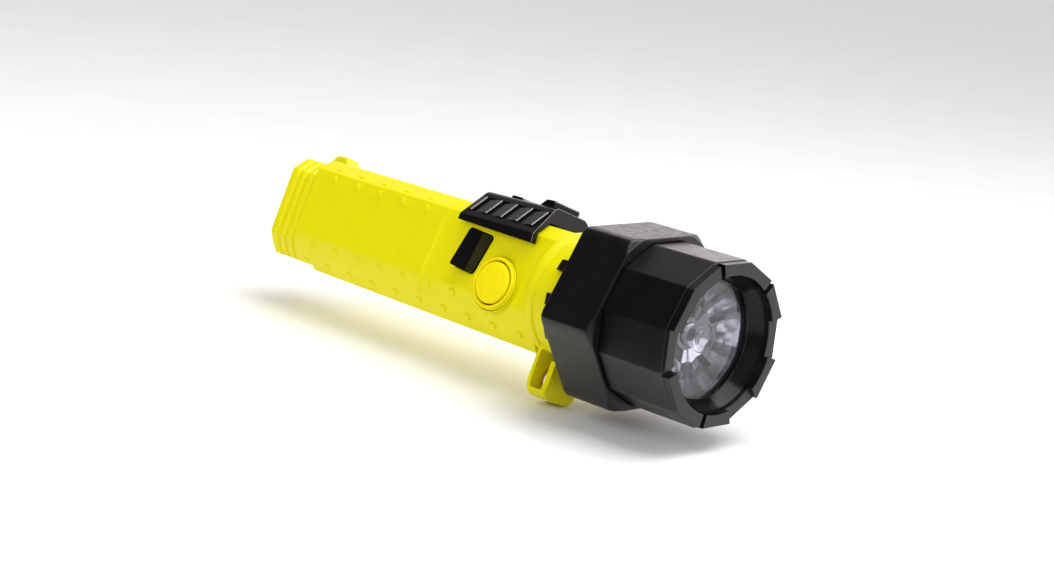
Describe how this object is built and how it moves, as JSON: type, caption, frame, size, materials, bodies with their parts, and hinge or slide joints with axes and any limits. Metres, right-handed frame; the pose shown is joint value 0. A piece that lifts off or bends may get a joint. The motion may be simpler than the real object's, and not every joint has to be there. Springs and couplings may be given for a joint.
{
  "type": "firefighter flashlight",
  "caption": "Battery hand lamp with a ribbed handle, a twelve-sided crown bezel that unscrews, a slide switch, a push button and a rocker key.",
  "frame": {"origin": "where the light's axis meets the flat end face of the tail", "axes": "+X along the light's axis towards the head, +Z out of the top flat of the head's six-sided collar; the handle's top is turned 19.2 degrees from +Z towards +Y"},
  "size_m": [0.1988, 0.0614, 0.0614],
  "materials": {
    "yellow_shell": "fluorescent lemon yellow, satin moulded",
    "black_shell": "black moulded plastic, satin",
    "black_gloss": "black moulded plastic, shiny",
    "black_rubber": "black rubber",
    "grey_plastic": "grey moulded plastic",
    "clear": "clear polycarbonate",
    "steel": "plated spring steel",
    "brass": "brass",
    "aluminium": "turned aluminium",
    "circuit_board": "green solder mask",
    "cell_sleeve": "plain printed sleeve",
    "phosphor": "yellow phosphor"
  },
  "bodies": {
    "handle": {"body_shell": "yellow_shell", "lanyard_eyelet": "brass", "neck_seal": "black_rubber", "button_ring": "yellow_shell", "button_switch": "black_shell", "key_pin": "steel", "key_switch": "black_shell", "switch_board": "circuit_board", "slide_rail": "black_shell", "rail_screw_1": "steel", "rail_screw_2": "steel", "reed_board": "circuit_board", "reed_switch": "clear", "battery_carrier": "grey_plastic", "cell_1": "cell_sleeve", "cell_2": "cell_sleeve", "cell_3": "cell_sleeve", "cell_4": "cell_sleeve", "rear_bus": "steel", "front_contact": "steel", "return_contact": "steel"},
    "button": {"button_cap": "yellow_shell", "button_plunger": "grey_plastic"},
    "key": {"key_cap": "black_gloss"},
    "slide": {"slide_saddle": "black_gloss", "slide_magnet": "steel"},
    "light_module": {"tir_optic": "clear", "optic_holder": "grey_plastic", "led_emitter": "phosphor", "led_board": "circuit_board", "heat_sink": "aluminium", "driver_board": "circuit_board", "driver_cup": "black_shell", "supply_spring": "steel", "return_spring": "steel"},
    "head": {"head_bezel": "black_shell", "hex_collar": "black_rubber", "lock_ring": "black_shell", "front_lens": "clear", "lens_gasket": "black_rubber"}
  },
  "joints": [
    {"name": "module_slide", "type": "slide", "parent": "handle", "child": "light_module", "axis": [1, 0, 0], "range_m": [0, 0.00601]},
    {"name": "head_screw", "type": "hinge", "parent": "light_module", "child": "head", "pos_m": [0.1628, 0, 0], "axis": [1, 0, 0], "range_deg": [0, 720]},
    {"name": "button_press", "type": "slide", "parent": "handle", "child": "button", "axis": [0, 0.9444, -0.3289], "range_m": [0, 0.0012]},
    {"name": "key_rock", "type": "hinge", "parent": "handle", "child": "key", "pos_m": [0.1001, -0.00921, 0.01126], "axis": [1, 0, 0], "range_deg": [0, 6]},
    {"name": "slide_travel", "type": "slide", "parent": "handle", "child": "slide", "axis": [1, 0, 0], "range_m": [0, 0.006]}
  ],
  "couplings": [
    {"joint": "module_slide", "follows": "head_screw", "m_per_rad": 0.00047746}
  ]
}
